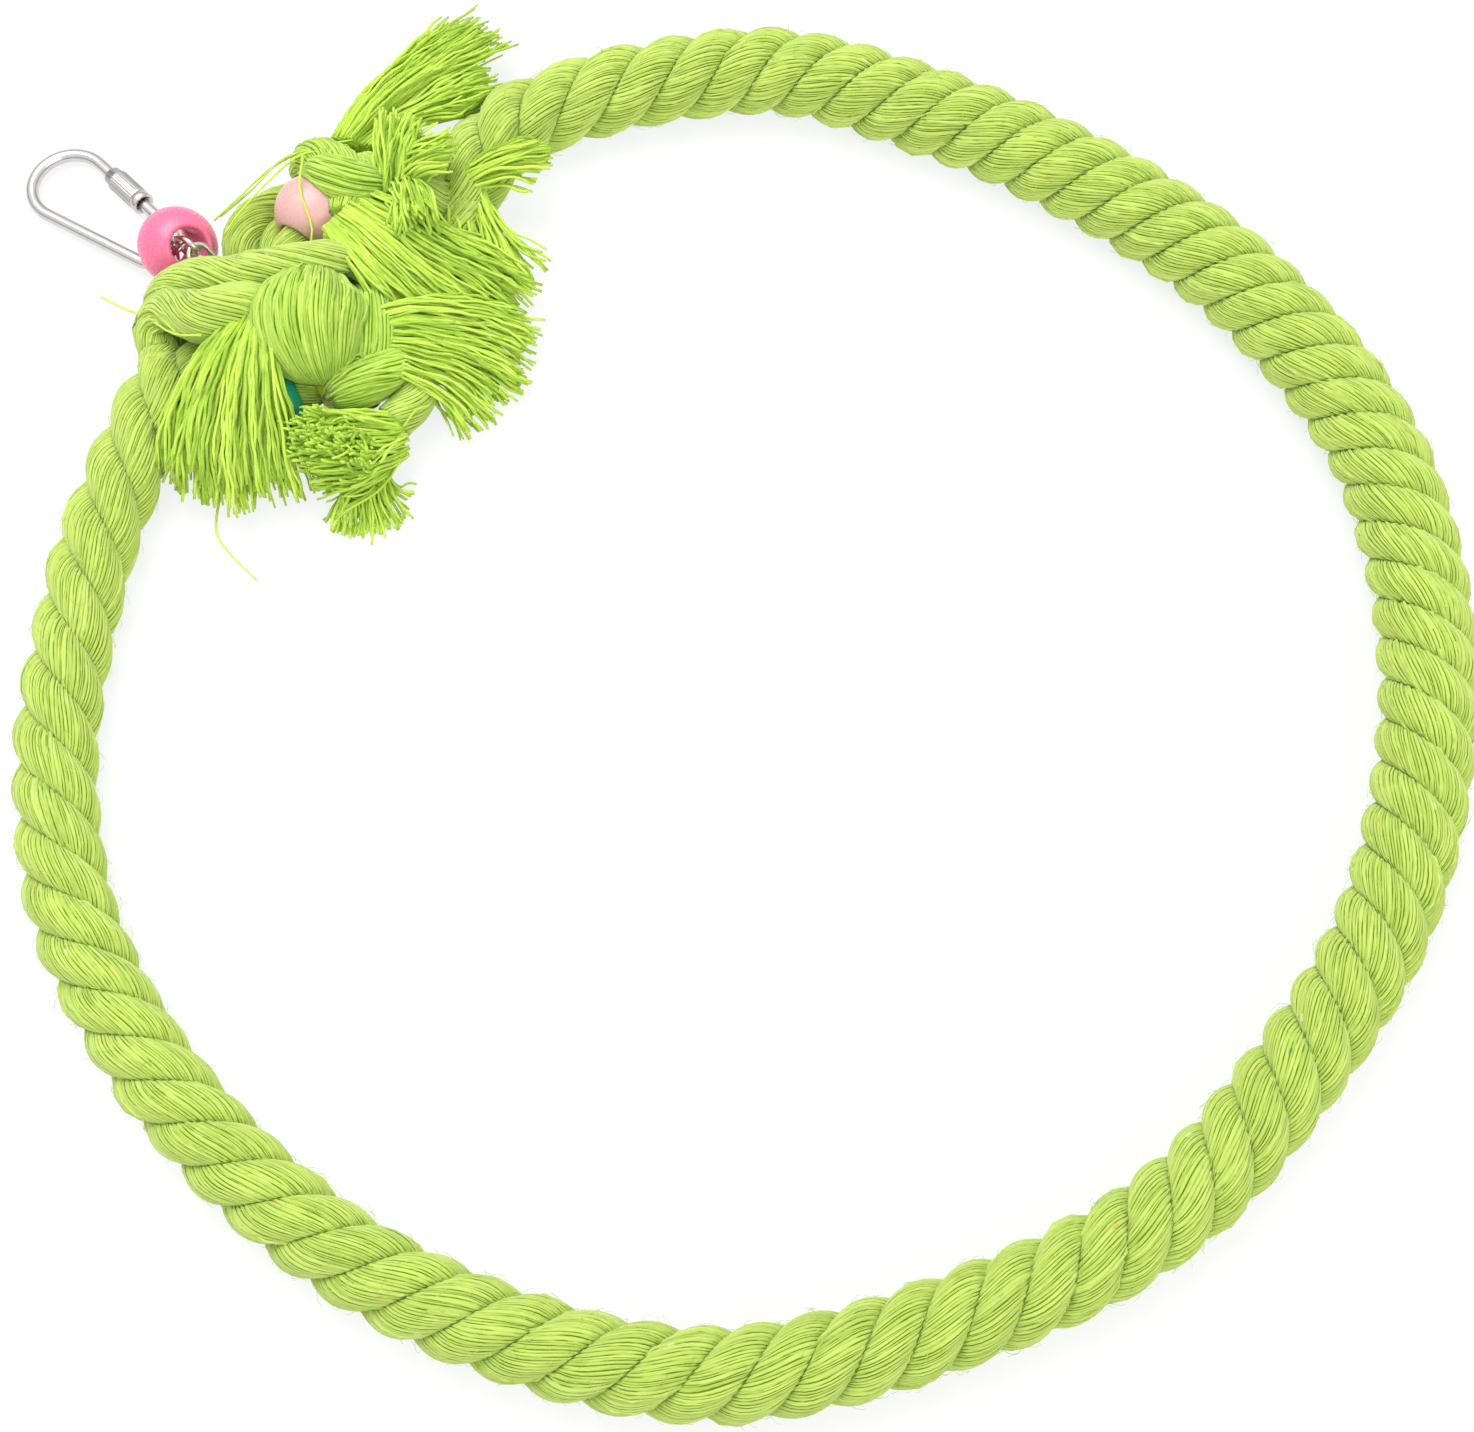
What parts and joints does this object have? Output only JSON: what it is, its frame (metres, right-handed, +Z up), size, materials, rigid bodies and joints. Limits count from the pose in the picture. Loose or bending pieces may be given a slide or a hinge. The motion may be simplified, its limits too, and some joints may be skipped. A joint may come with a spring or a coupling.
{
  "type": "rope ring bird swing",
  "caption": "Ring-shaped bird swing perch of thick laid cotton rope, knotted at the top with frayed tassels and plastic beads, on a short chain with a pear-shaped screw hook.",
  "frame": {"origin": "middle of the part's box, on the surface that the swing lies on", "axes": "+X right and +Y away across the ring as it lies, with the knot at the far left, and +Z up from the surface"},
  "size_m": [0.3462, 0.337, 0.0322],
  "materials": {
    "cotton_rope": "matte spun cotton",
    "frayed_cotton": "matte loose cotton yarn",
    "plated_steel": "bright nickel plate",
    "core_steel": "plain drawn wire",
    "hot_pink_plastic": "glossy",
    "pale_pink_plastic": "glossy",
    "green_plastic": "glossy",
    "yellow_plastic": "glossy"
  },
  "bodies": {
    "rope_ring": {"strand_1": "cotton_rope", "strand_2": "cotton_rope", "strand_3": "cotton_rope", "core_wire": "core_steel", "core_ferrule": "core_steel", "left_tail_1": "cotton_rope", "left_tail_2": "cotton_rope", "left_tail_3": "cotton_rope", "right_tail_1": "cotton_rope", "right_tail_2": "cotton_rope", "right_tail_3": "cotton_rope", "centre_wrap": "cotton_rope", "top_wrap": "cotton_rope", "tassel_left": "frayed_cotton", "tassel_right": "frayed_cotton", "tassel_bottom": "frayed_cotton", "tassel_fringe": "frayed_cotton", "tassel_sweep": "frayed_cotton", "tassel_top": "frayed_cotton", "tassel_short": "frayed_cotton", "tassel_end": "frayed_cotton"},
    "link_5": {"chain_link_5": "plated_steel"},
    "link_4": {"chain_link_4": "plated_steel"},
    "link_3": {"chain_link_3": "plated_steel"},
    "link_2": {"chain_link_2": "plated_steel"},
    "link_1": {"chain_link_1": "plated_steel"},
    "hook": {"hook_frame": "plated_steel"},
    "sleeve": {"hook_sleeve": "plated_steel"},
    "bead_pink": {"pink_bead": "hot_pink_plastic"},
    "bead_pale": {"pale_bead": "pale_pink_plastic"},
    "bead_green": {"green_bead": "green_plastic"},
    "bead_yellow": {"yellow_bead": "yellow_plastic"}
  },
  "joints": [
    {"name": "link_5_on_core_wire", "type": "hinge", "parent": "rope_ring", "child": "link_5", "pos_m": [-0.11577, 0.08993, 0.0085], "axis": [0.6046, 0.7965, 0], "range_deg": [-20, 3]},
    {"name": "link_4_on_link_5", "type": "hinge", "parent": "link_5", "child": "link_4", "pos_m": [-0.11887, 0.09228, 0.01231], "axis": [0.6046, 0.7965, 0], "range_deg": [-20, 6]},
    {"name": "link_3_on_link_4", "type": "hinge", "parent": "link_4", "child": "link_3", "pos_m": [-0.12424, 0.09636, 0.01891], "axis": [0.6046, 0.7965, 0], "range_deg": [-5, 80]},
    {"name": "link_2_on_link_3", "type": "hinge", "parent": "link_3", "child": "link_2", "pos_m": [-0.12779, 0.09905, 0.01504], "axis": [0.6046, 0.7965, 0], "range_deg": [0, 6]},
    {"name": "link_1_on_link_2", "type": "hinge", "parent": "link_2", "child": "link_1", "pos_m": [-0.13326, 0.1032, 0.00907], "axis": [0.6046, 0.7965, 0], "range_deg": [0, 35]},
    {"name": "hook_on_link_1", "type": "hinge", "parent": "link_1", "child": "hook", "pos_m": [-0.13446, 0.10411, 0.0038], "axis": [0.6046, 0.7965, 0], "range_deg": [-15, 45]},
    {"name": "sleeve_slide", "type": "slide", "parent": "hook", "child": "sleeve", "axis": [-0.71, 0.7034, -0.0336], "range_m": [0, 0.005]},
    {"name": "pink_bead_spin", "type": "hinge", "parent": "link_3", "child": "bead_pink", "pos_m": [-0.12947, 0.10033, 0.0132], "axis": [-0.6011, 0.4563, -0.6561], "continuous": true},
    {"name": "pale_bead_spin", "type": "hinge", "parent": "rope_ring", "child": "bead_pale", "pos_m": [-0.0958, 0.10621, 0.018], "axis": [0.4822, 0.874, 0.0603], "continuous": true},
    {"name": "green_bead_spin", "type": "hinge", "parent": "rope_ring", "child": "bead_green", "pos_m": [-0.1045, 0.05781, 0.01], "axis": [0.9024, 0.4309, 0], "continuous": true},
    {"name": "yellow_bead_spin", "type": "hinge", "parent": "rope_ring", "child": "bead_yellow", "pos_m": [-0.0867, 0.06631, 0.01], "axis": [0.9024, 0.4309, 0], "continuous": true}
  ]
}
